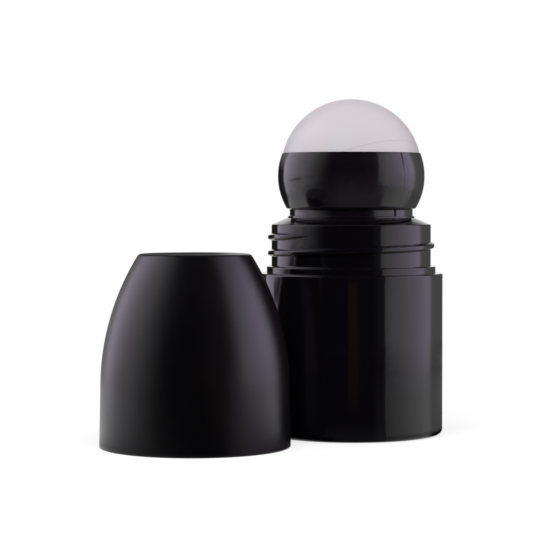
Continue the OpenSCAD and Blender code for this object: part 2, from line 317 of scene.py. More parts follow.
# %% [markdown]
# ## Bottle
# The bottle stands on a flat ring round a pushed-up base. Its straight body ends in a narrow shoulder that
# the closed cap's rim sits over. The neck carries a bead at its foot and ends in a sloping land that leads
# up to the mouth. The frame gives the body's radius and the mouth's height, and the rest is what such a
# neck measures.

# %% Draw the bottle's section
bottle_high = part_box("bottle")[1]
body_r = bottle_high.x / MM
mouth_h = bottle_high.z / MM
shoulder_h, bead_h, land_rise = 40.65, 1.75, 1.7
neck_r, bead_r, mouth_r, rim_r = 20.2, 21.4, 15.65, 16.25
body_wall, neck_in_r, mouth_bore_h, bore_flare_h = 1.3, 18.7, 2, 1.5
body_in_r = body_r - body_wall
land_h = mouth_h - land_rise
foot_edge_r, foot_w, base_rise = 1.3, 4, 1.4
foot_in_r = body_r - foot_edge_r - foot_w
push_up_r = (foot_in_r**2 + base_rise**2) / (2 * base_rise)
push_up_deg = math.degrees(math.asin(foot_in_r / push_up_r))
push_up_share = 0.95
floor_h = base_rise + body_wall

bottle_section = section(
    arc((0, base_rise - push_up_r), push_up_r, 90, 90 - push_up_deg * push_up_share, steps=16)
    + [(foot_in_r, 0, 0.3), (body_r, 0, foot_edge_r), (body_r, shoulder_h, 0.4)]
    + [(bead_r, shoulder_h, 0.12), (bead_r, shoulder_h + bead_h, 0.25), (neck_r, shoulder_h + bead_h, 0.25)]
    + [(neck_r, land_h, 0.35), (rim_r, mouth_h, 0.12), (mouth_r, mouth_h, 0.15)]
    + [(mouth_r, mouth_h - mouth_bore_h, 0.2), (neck_in_r, land_h - bore_flare_h, 0.8)]
    + [(neck_in_r, shoulder_h, 2)]
    + [(body_in_r, shoulder_h - (body_in_r - neck_in_r), 2), (body_in_r, floor_h, 1.3), (0, floor_h, 0)]
)
print("the bottle's section has", len(bottle_section), "points")

# %% [markdown]
# ## Thread
# The neck has one turn and a third of a right-handed ridge, which sinks into the wall at both ends. A ridge
# that follows a helix is a job for Geometry Nodes: a small trapezoid with rounded corners is swept along a
# spiral curve, and shrinks over each run-out. The same tree makes the ridge inside the cap, where the
# trapezoid is turned round so that it points inwards. Its sizes are inputs.


# %% Build the tree for a thread's ridge
POINTS_PER_TURN, LEAST_SHARE = 120, 0.05


def thread_tree():
    """Geometry Nodes tree of a ridge on a helix, with named inputs. Lengths are in millimetres."""
    tree = bpy.data.node_groups.new("thread_ridge", "GeometryNodeTree")
    tree.is_modifier = True
    sizes = ["Wall Radius", "Turns", "Climb", "Foot Width", "Crest Width", "Full Height", "Lift", "Edge"]
    for name in [*sizes, "Run-out Turns", "Start Height", "Start Angle", "Profile Turn"]:
        tree.interface.new_socket(name=name, in_out="INPUT", socket_type="NodeSocketFloat")
    tree.interface.new_socket(name="Material", in_out="INPUT", socket_type="NodeSocketMaterial")
    tree.interface.new_socket(name="Ridge", in_out="OUTPUT", socket_type="NodeSocketGeometry")
    given = tree.nodes.new("NodeGroupInput").outputs

    rise = {
        "Start Radius": given["Wall Radius"],
        "End Radius": given["Wall Radius"],
        "Height": given["Climb"],
        "Rotations": given["Turns"],
        "Resolution": POINTS_PER_TURN,
        "Reverse": True,
    }
    helix = add(tree, "GeometryNodeCurveSpiral", rise).outputs[0]
    upright = add(tree, "GeometryNodeSetCurveNormal", {0: helix}, mode="Z_UP").outputs[0]
    # The ridge's share of its full size rises like a sine over each run-out
    along = add(tree, "GeometryNodeSplineParameter").outputs["Factor"]
    from_end = add(tree, "ShaderNodeMath", {0: 1.0, 1: along}, operation="SUBTRACT").outputs[0]
    nearer = add(tree, "ShaderNodeMath", {0: along, 1: from_end}, operation="MINIMUM").outputs[0]
    turning = {0: nearer, 1: given["Turns"]}
    turns_from_end = add(tree, "ShaderNodeMath", turning, operation="MULTIPLY").outputs[0]
    ratio = {0: turns_from_end, 1: given["Run-out Turns"]}
    run_out = add(tree, "ShaderNodeMath", ratio, operation="DIVIDE", use_clamp=True).outputs[0]
    angle = add(tree, "ShaderNodeMath", {0: run_out, 1: math.pi / 2}, operation="MULTIPLY").outputs[0]
    risen = add(tree, "ShaderNodeMath", {0: angle}, operation="SINE").outputs[0]
    share = add(tree, "ShaderNodeMath", {0: risen, 1: LEAST_SHARE}, operation="MAXIMUM").outputs[0]
    widths = {
        "Bottom Width": given["Foot Width"],
        "Top Width": given["Crest Width"],
        "Height": given["Full Height"],
        "Offset": 0.0,
    }
    trapezoid = add(tree, "GeometryNodeCurvePrimitiveQuadrilateral", widths, mode="TRAPEZOID").outputs[0]
    edges = {"Curve": trapezoid, "Radius": given["Edge"], "Count": 4, "Limit Radius": True}
    profile = add(tree, "GeometryNodeFilletCurve", edges, mode="POLY").outputs[0]
    lifted = add(tree, "ShaderNodeCombineXYZ", {"Y": given["Lift"]}).outputs[0]
    on_wall = add(tree, "GeometryNodeTransform", {"Geometry": profile, "Translation": lifted}).outputs[0]
    turned = add(tree, "ShaderNodeCombineXYZ", {"Z": given["Profile Turn"]}).outputs[0]
    outward = add(tree, "GeometryNodeTransform", {"Geometry": on_wall, "Rotation": turned}).outputs[0]
    sweep = {"Curve": upright, "Profile Curve": outward, "Scale": share, "Fill Caps": True}
    ridge = add(tree, "GeometryNodeCurveToMesh", sweep).outputs[0]
    move = {
        "Geometry": ridge,
        "Translation": add(tree, "ShaderNodeCombineXYZ", {"Z": given["Start Height"]}).outputs[0],
        "Rotation": add(tree, "ShaderNodeCombineXYZ", {"Z": given["Start Angle"]}).outputs[0],
    }
    placed = add(tree, "GeometryNodeTransform", move).outputs[0]
    real = add(tree, "GeometryNodeRealizeInstances", {"Geometry": placed}).outputs[0]
    paint = {"Geometry": real, "Material": given["Material"]}
    painted = add(tree, "GeometryNodeSetMaterial", paint).outputs[0]
    add(tree, "NodeGroupOutput", {"Ridge": painted})
    return tree


ridge_tree = thread_tree()
print("the thread's tree has", len(ridge_tree.nodes), "nodes")

# %% [markdown]
# A modifier stores its inputs under each socket's identifier, not its name, and they are set before the
# object is first evaluated. The result is copied to a plain mesh, and the modifier goes.


# %% Make a ridge as a plain mesh
pitch, ridge_depth, ridge_sink, ridge_edge, run_out_deg = 4, 0.9, 0.3, 0.16, 24


def ridge_mesh(name, material, wall_r, turns, root_w, crest_w, start_h, start_deg, facing):
    """The mesh of a ridge in millimetres. Facing is 1 for one that points outwards, -1 for inwards."""
    # The trapezoid's foot lies under the wall, and its flanks keep their slope down to there
    wanted = {
        "Wall Radius": wall_r,
        "Turns": turns,
        "Climb": turns * pitch,
        "Foot Width": root_w + (root_w - crest_w) * ridge_sink / ridge_depth,
        "Crest Width": crest_w,
        "Full Height": ridge_depth + ridge_sink,
        "Lift": (ridge_depth - ridge_sink) / 2,
        "Edge": ridge_edge,
        "Run-out Turns": run_out_deg / 360,
        "Start Height": start_h,
        "Start Angle": math.radians(start_deg),
        "Profile Turn": -facing * math.pi / 2,
        "Material": material,
    }
    carrier = new_object(name, bpy.data.meshes.new(name))
    modifier = carrier.modifiers.new("ridge", "NODES")
    modifier.node_group = ridge_tree
    for item in ridge_tree.interface.items_tree:
        if item.in_out == "INPUT":
            value = wanted[item.name]
            modifier[item.identifier] = value if item.name == "Material" else float(value)
    evaluated = carrier.evaluated_get(bpy.context.evaluated_depsgraph_get())
    mesh = bpy.data.meshes.new_from_object(evaluated)
    carrier.modifiers.remove(modifier)
    bpy.data.objects.remove(carrier)
    return mesh


neck_turns, neck_root_w, neck_crest_w = 1.36, 1.9, 0.9
ridge_top_h, ridge_end_deg = land_h - 2.6, -123.6
neck_ridge = ridge_mesh(
    "neck_ridge", bottle_plastic, neck_r, neck_turns, neck_root_w, neck_crest_w,
    start_h=ridge_top_h - pitch * neck_turns, start_deg=ridge_end_deg - 360 * neck_turns, facing=1,
)
print("the neck's ridge has", len(neck_ridge.polygons), "faces")

# %% [markdown]
# The base of a blown bottle keeps the line where the mould pinched the parison shut. It runs straight
# across the push-up. Everything else on the bottle is round, so the section is turned in even columns, and
# the ridge is added to the same piece, because the two are one moulding.


# %% Turn the bottle
TOUCHING = 0.01


def bottle_mesh():
    """The bottle without its ridge, with the pinch-off line across its base, in millimetres."""
    mesh = turned_mesh("bottle_wall", bottle_section, turn_angles(columns=240))
    pinch_h, pinch_w, pinch_reach = 0.3, 0.35, foot_in_r * 0.9
    for vertex in mesh.vertices:
        x, y, z = vertex.co
        share = math.hypot(x, y) / pinch_reach
        if z < base_rise + TOUCHING and share < 1:
            vertex.co.z -= pinch_h * math.exp(-((y / pinch_w) ** 2)) * (1 - share**2)
    return mesh


bottle_wall = bottle_mesh()
for part in (bottle_wall, neck_ridge):
    to_metres(part)
bottle = finished_piece("bottle_moulding", [bottle_wall, neck_ridge], bottle_plastic)
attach(bottle, "bottle_body")
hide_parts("bottle")

# %% [markdown]
# ## Housing plastic
# The housing is injection-moulded polyethylene, gloss black. It is a little softer in its gloss than the
# bottle, with faint flow marks where the melt ran round the cup.


# %% Make the housing's plastic
def injected_gloss_black():
    """Gloss black injection-moulded polyethylene."""
    material, tree, surface, place = new_plastic("injected_gloss_black")
    flow_mm, flow_rise = 2, 0.006 * MM
    # Flow marks lie round the cup, so they are longer round it than up it
    flat = add(tree, "ShaderNodeMapping", {"Vector": place, "Scale": (0.2, 0.2, 1)}).outputs[0]
    flow_noise = {"Vector": flat, "Scale": per_metre(flow_mm), "Detail": 3}
    flow = add(tree, "ShaderNodeTexNoise", flow_noise).outputs["Fac"]
    flow_bump = add(tree, "ShaderNodeBump", {"Height": flow, "Distance": flow_rise}).outputs[0]
    shades = {0: flow, 6: linear("#0e0b11"), 7: linear("#120f14")}
    shade = add(tree, "ShaderNodeMix", shades, data_type="RGBA").outputs[2]
    gloss = {"Value": flow, "From Min": 0.3, "From Max": 0.7, "To Min": 0.08, "To Max": 0.13}
    roughness = add(tree, "ShaderNodeMapRange", gloss).outputs[0]
    fill(tree, surface, {"Base Color": shade, "Roughness": roughness, "Normal": flow_bump, "IOR": 1.51})
    return material


housing_plastic = injected_gloss_black()
print("made", housing_plastic.name)

# %% [markdown]
# ## Ball housing
# One moulding does three jobs: its cup holds the ball under a thin lip, its flange seats on the mouth's
# rim, and its plug closes the mouth, held by a bead that snaps under the bore. The mould's two side cores
# leave a parting line up the cup, with a nick where it crosses the recessed neck. That line is pushed in as
# each point is placed.


# %% Draw the housing's section
def third_side(longest, other):
    """The third side of a right triangle."""
    return math.sqrt(longest**2 - other**2)


housing_low, housing_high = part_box("ball_housing")
ball_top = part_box("ball_upper_half")[1].z / MM
ball_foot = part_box("ball_lower_half")[0].z / MM
ball_r, ball_h = (ball_top - ball_foot) / 2, (ball_top + ball_foot) / 2
seat_r, relief_r, cup_r = ball_r + 0.05, ball_r + 0.25, ball_r + 0.85
lip_h = housing_high.z / MM - ball_h
lip_edge_w = 0.2
lip_r = third_side(seat_r, lip_h) + lip_edge_w
waist_drop, recess_wall, bowl_wall, throat_r = 1.7, 0.8, 1, 8
cup_arc_r = ((lip_h + waist_drop) ** 2 + (cup_r - lip_r) ** 2) / (2 * (cup_r - lip_r))
cup_arc_x = cup_r - cup_arc_r
plug_r, plug_in_r = mouth_r - 0.05, mouth_r - 1.25
cup_drop = third_side(seat_r, plug_r - recess_wall)
mouth_drop = ball_h - mouth_h
plug_end = housing_low.z / MM - ball_h
grip_top = -mouth_drop - mouth_bore_h
flange_r, flange_h = mouth_r + 0.4, 0.5
lip_band_low = lip_h - 1.4
grip_out, grip_full, grip_flat_end, grip_end = 0.3, 0.3, 0.6, 1.6
lead_in_h, lead_in_w = 1.2, 0.6


def sphere_arc(radius, from_z, to_z, steps):
    """Points of a circle about the ball's centre between two heights."""
    return arc((0, 0), radius, *(math.degrees(math.asin(z / radius)) for z in (from_z, to_z)), steps)


lip_edge, cup_foot_edge = 0.1, 0.15
cup_from = math.degrees(math.asin((lip_h + waist_drop - lip_edge) / cup_arc_r))
cup_to = math.degrees(math.asin((waist_drop - cup_drop + cup_foot_edge) / cup_arc_r))
cup_low_r = cup_arc_x + third_side(cup_arc_r, waist_drop - cup_drop)
bowl_r = seat_r + bowl_wall
housing_section = section(
    [(lip_r - 0.01, lip_h, 0.04)]
    + arc((cup_arc_x, -waist_drop), cup_arc_r, cup_from, cup_to, steps=40)
    + [(cup_low_r, -cup_drop, 0.08), (plug_r, -cup_drop, 0.5), (plug_r, flange_h - mouth_drop, 0.1)]
    + [(flange_r, flange_h - mouth_drop, 0.12), (flange_r, -mouth_drop, 0.05), (plug_r, -mouth_drop, 0.1)]
    + [(plug_r, grip_top, 0.15), (plug_r + grip_out, grip_top - grip_full, 0.15)]
    + [(plug_r + grip_out, grip_top - grip_flat_end, 0.15), (plug_r, grip_top - grip_end, 0.2)]
    + [(plug_r, plug_end + lead_in_h, 0.3), (plug_r - lead_in_w, plug_end, 0.15)]
    + [(plug_in_r, plug_end, 0.15)]
    + sphere_arc(bowl_r, -third_side(bowl_r, plug_in_r), -third_side(bowl_r, throat_r), steps=12)
    + sphere_arc(seat_r, -third_side(seat_r, throat_r), recess_wall - cup_drop, steps=12)
    + sphere_arc(relief_r, recess_wall - cup_drop, lip_band_low, steps=24)
    + sphere_arc(seat_r, lip_band_low, lip_h, steps=4),
    closed=True,
)
print(f"the housing's section has {len(housing_section)} points, its cup a radius of {cup_arc_r:.2f} mm")


# %% Turn the housing with its parting lines and feed channels
parting_deg = (312, 132)
line_depth, line_w, faint_share, fade_z, fade_h = 0.13, 0.17, 0.35, 0.5, 0.8
nick_depth, nick_w = 0.3, 0.22
channels, channel_half_w, channel_depth = 8, 0.8, 0.35


def housing_relief(x, z, angle):
    """How far out the parting line, its nicks and the feed channels push a point, in millimetres."""
    off_line = math.radians(min(from_line(angle, line) for line in parting_deg)) * x
    push = 0
    on_cup = abs(math.hypot(x - cup_arc_x, z + waist_drop) - cup_arc_r) < TOUCHING
    if on_cup:
        # The line is deepest at the lip and faint below the waist
        share = faint_share + (1 - faint_share) / (1 + math.exp((fade_z - z) / fade_h))
        push -= line_depth * share * math.exp(-((off_line / line_w) ** 2))
    if abs(x - plug_r) < TOUCHING and -mouth_drop + flange_h < z < -cup_drop:
        push -= nick_depth * math.exp(-((off_line / nick_w) ** 2))
    off_channel = math.radians(min(from_line(angle, 360 * i / channels) for i in range(channels))) * x
    in_seat = math.hypot(x, z) < seat_r + TOUCHING and z < recess_wall - cup_drop
    if in_seat and off_channel < channel_half_w:
        push += channel_depth
    return push


housing_angles = turn_angles(columns=256, fine_at=parting_deg)
housing_mesh = turned_mesh("housing", housing_section, housing_angles, housing_relief)
to_metres(housing_mesh, (0, 0, ball_h))
housing = finished_piece("housing_moulding", [housing_mesh], housing_plastic)
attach(housing, "bottle_body")
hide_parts("ball_housing")

# %% [markdown]
# ## Ball plastic
# The ball is polypropylene, ground and tumbled after welding, so it is round to a few hundredths and has an
# even satin surface. It is off-white with a faint warm tint, and a soft sheen where the light comes in
# flat.


# %% Make the ball's plastic
def tumbled_white():
    """Off-white polypropylene, ground and tumbled to a satin."""
    material, tree, surface, place = new_plastic("tumbled_white")
    # The grinding marks are under 0.1 mm, and are drawn at 0.4 mm so that they show at all
    mark_mm, mark_rise, cloud_mm = 0.4, 0.004 * MM, 14
    mark_noise = {"Vector": place, "Scale": per_metre(mark_mm), "Detail": 2}
    marks = add(tree, "ShaderNodeTexNoise", mark_noise).outputs["Fac"]
    cloud_noise = {"Vector": place, "Scale": per_metre(cloud_mm), "Detail": 2}
    clouds = add(tree, "ShaderNodeTexNoise", cloud_noise).outputs["Fac"]
    mark_bump = add(tree, "ShaderNodeBump", {"Height": marks, "Distance": mark_rise}).outputs[0]
    tint = {"Value": clouds, "From Min": 0.35, "From Max": 0.65}
    tint_share = add(tree, "ShaderNodeMapRange", tint).outputs[0]
    shades = {0: tint_share, 6: linear("#d8d4da"), 7: linear("#dbd3d7")}
    shade = add(tree, "ShaderNodeMix", shades, data_type="RGBA").outputs[2]
    fill(tree, surface, {"Base Color": shade, "Roughness": 0.42, "Normal": mark_bump, "IOR": 1.49})
    return material


ball_plastic = tumbled_white()
print("made", ball_plastic.name)

# %% [markdown]
# ## Ball
# Two hollow halves are moulded, centred on each other by a lip, and welded. The ball rolls freely, so its
# seam came to rest at a slant. Each half's outer edge is eased by a tenth of a millimetre, and where the
# two meet this leaves the hairline that shows.

# %% Make the two halves of the ball
ball_wall, weld_lip_w = 1.2, 0.6
ball_in_r = ball_r - ball_wall
weld_lip_r = ball_in_r + weld_lip_w
weld_lip_h, weld_gap, seam_edge, seam_clear_deg = 0.8, 0.05, 0.1, 0.6
seam_tilt_deg, seam_turn_deg = 23.6, -42

upper_section = section(
    arc((0, 0), ball_r, 90, seam_clear_deg, steps=48)
    + [(ball_r, 0, seam_edge), (weld_lip_r, 0, 0.05), (weld_lip_r, -weld_lip_h, 0.08)]
    + [(ball_in_r, -weld_lip_h, 0.08)]
    + arc((0, 0), ball_in_r, 0, 90, steps=32)
)
lower_section = section(
    arc((0, 0), ball_r, -90, -seam_clear_deg, steps=48)
    + [(ball_r, 0, seam_edge), (weld_lip_r + weld_gap, 0, 0.05)]
    + [(weld_lip_r + weld_gap, -weld_lip_h - weld_gap, 0.08)]
    + sphere_arc(ball_in_r, -weld_lip_h - weld_gap, -ball_in_r, steps=32)
)
seam_tilt = Matrix.Rotation(math.radians(-seam_tilt_deg), 4, "Y")
seam_turn = Matrix.Rotation(math.radians(seam_turn_deg), 4, "Z") @ seam_tilt
for half, points in (("upper", upper_section), ("lower", lower_section)):
    half_mesh = turned_mesh(f"ball_{half}", points, turn_angles(columns=192))
    to_metres(half_mesh, (0, 0, ball_h), seam_turn)
    piece = finished_piece(f"ball_{half}_moulding", [half_mesh], ball_plastic)
    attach(piece, "ball")
    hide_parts(f"ball_{half}_half")

# %% [markdown]
# ## Cap plastic
# The cap is the same polypropylene, but its mould was spark-eroded to a fine matt, which scatters the light
# into broad soft bands. The pits are a few hundredths of a millimetre across, and are drawn larger so that
# they show. The roughness stays above 0.275. At about that value the denoiser starts to treat a surface as
# a mirror, and a pattern that crosses it leaves marks like fine cracks.


# %% Make the cap's plastic
def eroded_matt_black():
    """Matt black polypropylene from a spark-eroded mould."""
    material, tree, surface, place = new_plastic("eroded_matt_black")
    pit_mm, pit_rise, cloud_mm = 0.25, 0.004 * MM, 6
    pit_noise = {"Vector": place, "Scale": per_metre(pit_mm), "Detail": 3}
    pits = add(tree, "ShaderNodeTexNoise", pit_noise).outputs["Fac"]
    cloud_noise = {"Vector": place, "Scale": per_metre(cloud_mm), "Detail": 2}
    clouds = add(tree, "ShaderNodeTexNoise", cloud_noise).outputs["Fac"]
    pit_bump = add(tree, "ShaderNodeBump", {"Height": pits, "Distance": pit_rise}).outputs[0]
    shades = {0: clouds, 6: linear("#070508"), 7: linear("#0a080b")}
    shade = add(tree, "ShaderNodeMix", shades, data_type="RGBA").outputs[2]
    matt = {"Value": clouds, "From Min": 0.3, "From Max": 0.7, "To Min": 0.277, "To Max": 0.295}
    roughness = add(tree, "ShaderNodeMapRange", matt).outputs[0]
    fill(tree, surface, {"Base Color": shade, "Roughness": roughness, "Normal": pit_bump, "IOR": 1.49})
    return material


cap_plastic = eroded_matt_black()
print("made", cap_plastic.name)

# %% [markdown]
# ## Cap
# The skirt is nearly straight and then leans in, in one long arc, to a small flat top. Inside are a plain
# mouth that clears the neck's bead, the ridge of the thread, and a ring under the top that presses the ball
# on its seat.

# %% Draw the cap's section
cap_low, cap_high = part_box("cap")
cap_x, cap_y = ((cap_low[i] + cap_high[i]) / 2 / MM for i in (0, 1))
cap_r = (cap_high.x - cap_low.x) / 2 / MM
cap_h = cap_high.z / MM
rim_gap, thread_gap, cap_draft = 0.2, 0.2, 0.3
cap_mouth_r, cap_mouth_h = bead_r + 0.3, bead_h + rim_gap
cap_bore_r = neck_r + ridge_depth + thread_gap
dome_r, dome_start_h, dome_top_r, top_edge_r, top_wall = cap_r - cap_draft, 14.2, 13.4, 1.1, 1.3
dome_arc_r = ((cap_h - dome_start_h) ** 2 + (dome_r - dome_top_r) ** 2) / (2 * (dome_r - dome_top_r))
dome_x = dome_r - dome_arc_r
top_edge_deg = math.degrees(math.asin((cap_h - top_edge_r - dome_start_h) / (dome_arc_r - top_edge_r)))
top_edge_x = dome_x + (dome_arc_r - top_edge_r) * math.cos(math.radians(top_edge_deg))
closed_h = shoulder_h + rim_gap
top_in_h = cap_h - top_wall
inner_arc_r = cap_bore_r - dome_x
inner_to_deg = math.degrees(math.asin((top_in_h - dome_start_h) / inner_arc_r))
press_in_r, press_out_r, press_gap = 7.4, 8.4, 0.05
support_w, support_deg, inner_clear_deg = 0.3, 0.4, 1
press_h = ball_h - closed_h + third_side(ball_r + press_gap, press_in_r)

cap_section = section(
    [(0, cap_h, 0), (top_edge_x - support_w, cap_h, 0)]
    + arc((top_edge_x, cap_h - top_edge_r), top_edge_r, 90, top_edge_deg, steps=10)
    + arc((dome_x, dome_start_h), dome_arc_r, top_edge_deg - support_deg, 0, steps=64)
    + [(cap_r, 0, 0.25), (cap_mouth_r, 0, 0.2), (cap_mouth_r, cap_mouth_h, 0.15)]
    + [(cap_bore_r, cap_mouth_h, 0.15)]
    + arc((dome_x, dome_start_h), inner_arc_r, 0, inner_to_deg - inner_clear_deg, steps=32)
    + [(dome_x + inner_arc_r * math.cos(math.radians(inner_to_deg)), top_in_h, 0.5)]
    + [(press_out_r, top_in_h, 0.3), (press_out_r, press_h, 0.25), (press_in_r, press_h, 0.25)]
    + [(press_in_r, top_in_h, 0.3), (0, top_in_h, 0)]
)
print(f"the cap's section has {len(cap_section)} points, its dome a radius of {dome_arc_r:.1f} mm")

# %% [markdown]
# The cap's ridge lies half a pitch under the neck's when the cap is closed, so its start follows from the
# height at which the cap closes.

# %% Turn the cap
cap_turns, cap_root_w, cap_crest_w, thread_lead = 1.2, 1.5, 0.6, 0.2
cap_ridge_h = cap_mouth_h + thread_lead + cap_root_w / 2
closing_turns = (closed_h + cap_ridge_h + pitch / 2 - ridge_top_h) / pitch
cap_ridge = ridge_mesh(
    "cap_ridge", cap_plastic, cap_bore_r, cap_turns, cap_root_w, cap_crest_w,
    start_h=cap_ridge_h, start_deg=ridge_end_deg + 360 * closing_turns, facing=-1,
)
cap_wall = turned_mesh("cap_wall", cap_section, turn_angles(columns=256))
for part in (cap_wall, cap_ridge):
    to_metres(part, (cap_x, cap_y, 0))
cap = finished_piece("cap_moulding", [cap_wall, cap_ridge], cap_plastic)
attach(cap, "screw_cap")
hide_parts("cap")

# %% [markdown]
# ## World and floor
# The product stands on white. The camera, and whatever a glossy surface mirrors, sees the world at a
# strength of one, which is white. The object is lit by a dimmer world and by lamps. The floor is pale grey
# paper that also glows for the same rays, so it shows near white and still keeps the object's shadow. It
# fades out before its edge, so no horizon shows.

# %% Light the world
ambient_strength = 0.38
white = linear("#ffffff")


def seen_or_mirrored(tree):
    """1 for rays from the camera, a mirror or clear plastic, and 0 for rays that only light."""
    ray = add(tree, "ShaderNodeLightPath").outputs
    shown = {0: ray["Is Camera Ray"], 1: ray["Is Glossy Ray"]}
    camera_or_glossy = add(tree, "ShaderNodeMath", shown, operation="MAXIMUM").outputs[0]
    through = {0: camera_or_glossy, 1: ray["Is Transmission Ray"]}
    return add(tree, "ShaderNodeMath", through, operation="MAXIMUM").outputs[0]


world = bpy.data.worlds.new("white_room")
bpy.context.scene.world = world
world.use_nodes = True
world_tree = world.node_tree
world_tree.nodes.clear()
lighting = add(world_tree, "ShaderNodeBackground", {"Color": white, "Strength": ambient_strength}).outputs[0]
backdrop = add(world_tree, "ShaderNodeBackground", {"Color": white, "Strength": 1.0}).outputs[0]
chosen = add(world_tree, "ShaderNodeMixShader", {0: seen_or_mirrored(world_tree), 1: lighting, 2: backdrop})
add(world_tree, "ShaderNodeOutputWorld", {"Surface": chosen.outputs[0]})
print("world: white where it is seen,", ambient_strength, "where it lights")

# %% Lay the floor
floor_r, floor_solid_r, floor_gone_r = 0.36, 0.1, 0.34
paper_grey, floor_glow = linear("#b8b8b8"), 0.66


def floor_material():
    """Pale floor that keeps shadows and fades to nothing towards the edge of its disc."""
    material, tree = new_material("pale_floor")
    tree.nodes.clear()
    place = add(tree, "ShaderNodeTexCoord").outputs["Object"]
    from_middle = add(tree, "ShaderNodeVectorMath", {0: place}, operation="LENGTH").outputs["Value"]
    fade = {"Value": from_middle, "From Min": floor_solid_r, "From Max": floor_gone_r}
    faded = add(tree, "ShaderNodeMapRange", fade, interpolation_type="SMOOTHSTEP").outputs[0]
    paper = add(tree, "ShaderNodeBsdfDiffuse", {"Color": paper_grey}).outputs[0]
    glow = {0: seen_or_mirrored(tree), 1: floor_glow}
    strength = add(tree, "ShaderNodeMath", glow, operation="MULTIPLY").outputs[0]
    shine = add(tree, "ShaderNodeEmission", {"Color": white, "Strength": strength}).outputs[0]
    sheet = add(tree, "ShaderNodeAddShader", {0: paper, 1: shine}).outputs[0]
    nothing = add(tree, "ShaderNodeBsdfTransparent").outputs[0]
    surface = add(tree, "ShaderNodeMixShader", {0: faded, 1: sheet, 2: nothing}).outputs[0]
    add(tree, "ShaderNodeOutputMaterial", {"Surface": surface})
    material.cycles.emission_sampling = "NONE"
    return material


floor_form = bmesh.new()
bmesh.ops.create_circle(floor_form, cap_ends=True, segments=96, radius=floor_r)
floor_mesh = bpy.data.meshes.new("floor")
floor_form.to_mesh(floor_mesh)
floor_form.free()
floor_mesh.materials.append(floor_material())
floor = new_object("floor", floor_mesh)
print("floor disc of", 2 * floor_r, "m")

# %% [markdown]
# ## Lamps
# A softbox on each side and one above the camera light the object. They are hidden from glossy rays,
# because what the plastic mirrors is set by the cards below.


# %% Place the softboxes
def towards(azimuth_deg, elevation_deg):
    """Unit vector to a place round the object. 0 is the viewer's side, and the right is positive."""
    a, e = math.radians(azimuth_deg), math.radians(elevation_deg)
    return Vector((math.sin(a) * math.cos(e), -math.cos(a) * math.cos(e), math.sin(e)))


stage_middle = Vector((-15, -10, 40)) * MM
LAMP_DISTANCE = 0.8


def softbox(name, azimuth_deg, elevation_deg, size, power):
    """A rectangular area light that faces the object."""
    data = bpy.data.lights.new(name, "AREA")
    data.shape = "RECTANGLE"
    data.size, data.size_y = size
    data.energy = power
    light = new_object(name, data)
    way = towards(azimuth_deg, elevation_deg)
    light.location = stage_middle + way * LAMP_DISTANCE
    light.rotation_euler = way.to_track_quat("Z", "Y").to_euler()
    light.visible_glossy = False
    print(f"{name}: {power} W, {size[0]} by {size[1]} m")


softbox("right_softbox", azimuth_deg=92, elevation_deg=30, size=(0.7, 0.8), power=0.75)
softbox("left_softbox", azimuth_deg=-100, elevation_deg=30, size=(0.7, 0.8), power=1.1)
softbox("front_softbox", azimuth_deg=-2, elevation_deg=50, size=(0.8, 0.5), power=4.1)

# %% [markdown]
# ## Cards
# A black product on white would mirror white everywhere and turn grey. Photographers put black cards,
# called flags, where it should stay black, and glowing silks where it should shine. Here both are cards
# that show in reflections only. A card is a grid over two directions, such as azimuth and elevation. Two
# tables say how solid it is along each of them, from 0 to 1, so its edges can be hard or can fade.


# %% Make cards
def card_material(name, glow, colour):
    """Glows as a silk or is black as a flag, as far as each point's cover says. The rest is clear."""
    material, tree = new_material(name)
    tree.nodes.clear()
    cover = add(tree, "ShaderNodeAttribute", attribute_name="cover").outputs["Fac"]
    nothing = add(tree, "ShaderNodeBsdfTransparent").outputs[0]
    sheet = add(tree, "ShaderNodeEmission", {"Color": linear(colour), "Strength": glow}).outputs[0]
    surface = add(tree, "ShaderNodeMixShader", {0: cover, 1: nothing, 2: sheet}).outputs[0]
    add(tree, "ShaderNodeOutputMaterial", {"Surface": surface})
    material.cycles.emission_sampling = "NONE"
    return material


def steps_along(table, step):
    """Places of a table's points, with more between them so that no gap is wider than the step."""
    places = []
    for (start, _), (end, _) in zip(table, table[1:]):
        parts = math.ceil((end - start) / step)
        places += [start + (end - start) * i / parts for i in range(parts)]
    return [*places, table[-1][0]]


def value_at(table, place):
    """Value of a table on the straight lines between its points."""
    for (start, low), (end, high) in zip(table, table[1:]):
        if place <= end:
            return low + (high - low) * (place - start) / (end - start)
    return table[-1][1]


def card(name, around, upward, point_at, glow=0.0, colour="#ffffff", steps=(2, 2)):
    """A card that only reflections show. point_at gives its point for a place in each table."""
    across, along = steps_along(around, steps[0]), steps_along(upward, steps[1])
    points = [point_at(a, u) for u in along for a in across]
    covers = [value_at(around, a) * value_at(upward, u) for u in along for a in across]
    width = len(across)
    corners = [r * width + c for r in range(len(along) - 1) for c in range(width - 1)]
    mesh = bpy.data.meshes.new(name)
    mesh.from_pydata(points, [], [(k, k + 1, k + width + 1, k + width) for k in corners])
    mesh.attributes.new("cover", "FLOAT", "POINT").data.foreach_set("value", covers)
    mesh.materials.append(card_material(name, glow, colour))
    obj = new_object(name, mesh)
    obj.visible_camera = obj.visible_diffuse = obj.visible_shadow = False
    obj.visible_transmission = obj.visible_volume_scatter = False
    print(f"{name}: {len(mesh.polygons)} faces, glow {glow}")


FLAG_DISTANCE, SILK_DISTANCE = 1.3, 1.35


def far_points(distance):
    """Function that gives a point at this distance for an azimuth and an elevation."""
    return lambda azimuth, elevation: stage_middle + towards(azimuth, elevation) * distance


flag_point, silk_point = far_points(FLAG_DISTANCE), far_points(SILK_DISTANCE)
print("flags hang at", FLAG_DISTANCE, "m, and silks behind them at", SILK_DISTANCE, "m")

